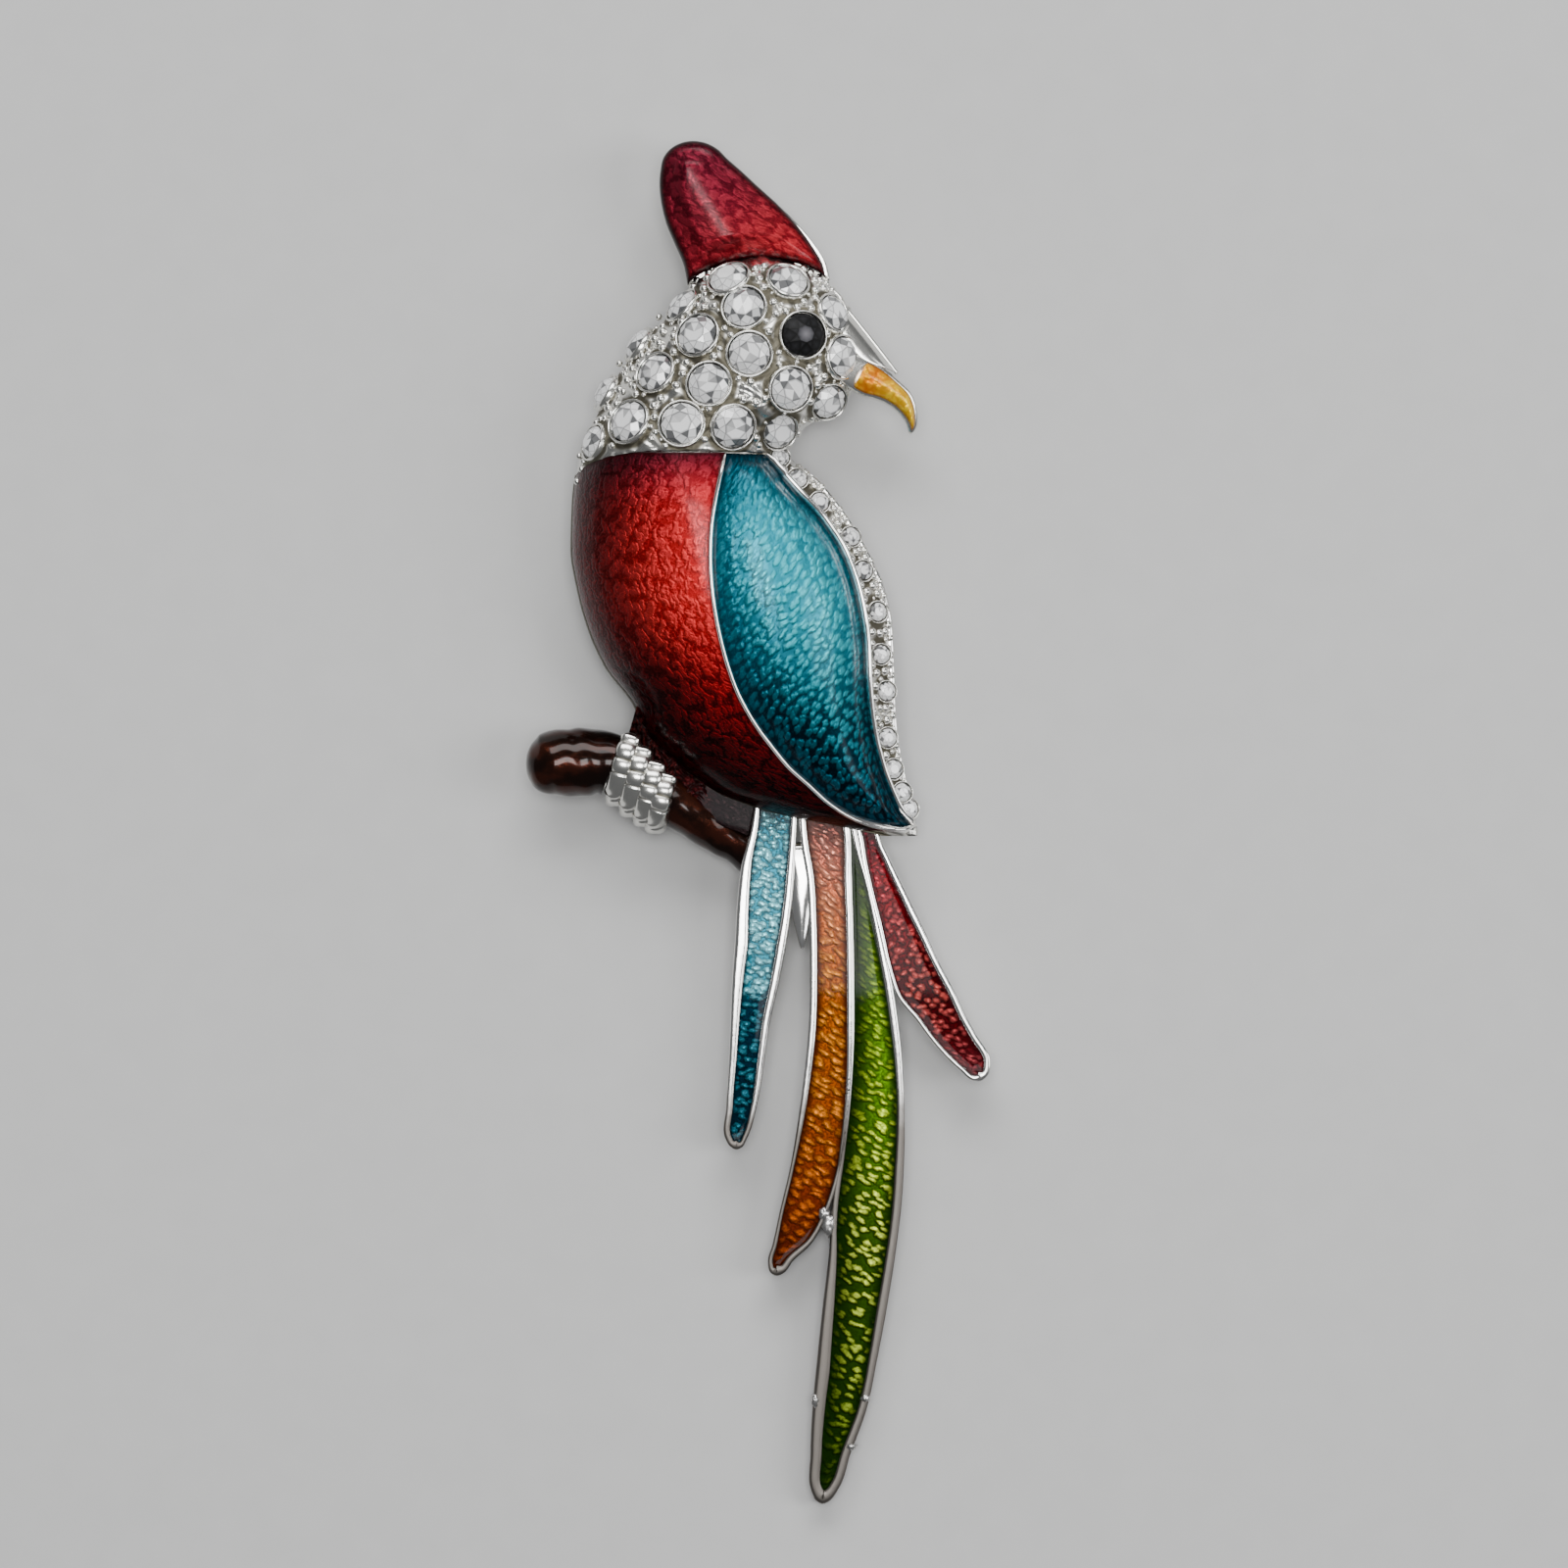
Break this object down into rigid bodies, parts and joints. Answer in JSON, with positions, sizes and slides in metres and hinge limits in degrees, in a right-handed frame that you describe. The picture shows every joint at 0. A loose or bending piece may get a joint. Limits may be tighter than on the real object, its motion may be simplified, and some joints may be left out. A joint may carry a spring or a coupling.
{
  "type": "figural parrot brooch",
  "caption": "Figural parrot brooch on its back: hollow silver-tone casting with enamelled breast, wing, crest, beak, branch and tail feathers, a clear-stone head and a closed pin back.",
  "frame": {"origin": "middle of the bounding box in plan, on the surface the brooch lies on", "axes": "+Y up the bird from tail tip to crest, +X to the right as the front is seen, +Z out of the front"},
  "size_m": [0.0294, 0.086, 0.0094],
  "materials": {
    "silver_plate": "bright plated cast alloy, a little tarnished between the stones",
    "crest_red": "deep red translucent enamel over hammered metal",
    "breast_red": "red translucent enamel over scaled metal",
    "wing_teal": "teal translucent enamel over scaled metal",
    "beak_yellow": "yellow enamel with an orange patch",
    "branch_brown": "dark brown translucent enamel",
    "feather_blue": "light to dark blue translucent enamel",
    "feather_orange": "orange translucent enamel",
    "feather_green": "lime to dark green translucent enamel",
    "feather_red": "red translucent enamel",
    "clear_rhinestone": "foil-backed clear cut glass",
    "black_glass": "black cut glass",
    "pin_steel": "plain bright steel"
  },
  "bodies": {
    "root": {"casting": "silver_plate", "crest_enamel": "crest_red", "breast_enamel": "breast_red", "wing_enamel": "wing_teal", "beak_enamel": "beak_yellow", "branch_enamel": "branch_brown", "branch_end_enamel": "branch_brown", "blue_feather_enamel": "feather_blue", "orange_feather_enamel": "feather_orange", "green_feather_enamel": "feather_green", "red_feather_enamel": "feather_red", "eye_stone": "black_glass", "head_stone_01": "clear_rhinestone", "head_stone_02": "clear_rhinestone", "head_stone_03": "clear_rhinestone", "head_stone_04": "clear_rhinestone", "head_stone_05": "clear_rhinestone", "head_stone_06": "clear_rhinestone", "head_stone_07": "clear_rhinestone", "head_stone_08": "clear_rhinestone", "head_stone_09": "clear_rhinestone", "head_stone_10": "clear_rhinestone", "head_stone_11": "clear_rhinestone", "head_stone_12": "clear_rhinestone", "head_stone_13": "clear_rhinestone", "head_stone_14": "clear_rhinestone", "head_stone_15": "clear_rhinestone", "head_stone_16": "clear_rhinestone", "head_stone_17": "clear_rhinestone", "head_stone_18": "clear_rhinestone", "head_stone_19": "clear_rhinestone", "back_stone_01": "clear_rhinestone", "back_stone_02": "clear_rhinestone", "back_stone_03": "clear_rhinestone", "back_stone_04": "clear_rhinestone", "back_stone_05": "clear_rhinestone", "back_stone_06": "clear_rhinestone", "back_stone_07": "clear_rhinestone", "back_stone_08": "clear_rhinestone", "back_stone_09": "clear_rhinestone", "back_stone_10": "clear_rhinestone", "back_stone_11": "clear_rhinestone", "back_stone_12": "clear_rhinestone", "pin_back": "pin_steel"}
  },
  "joints": []
}
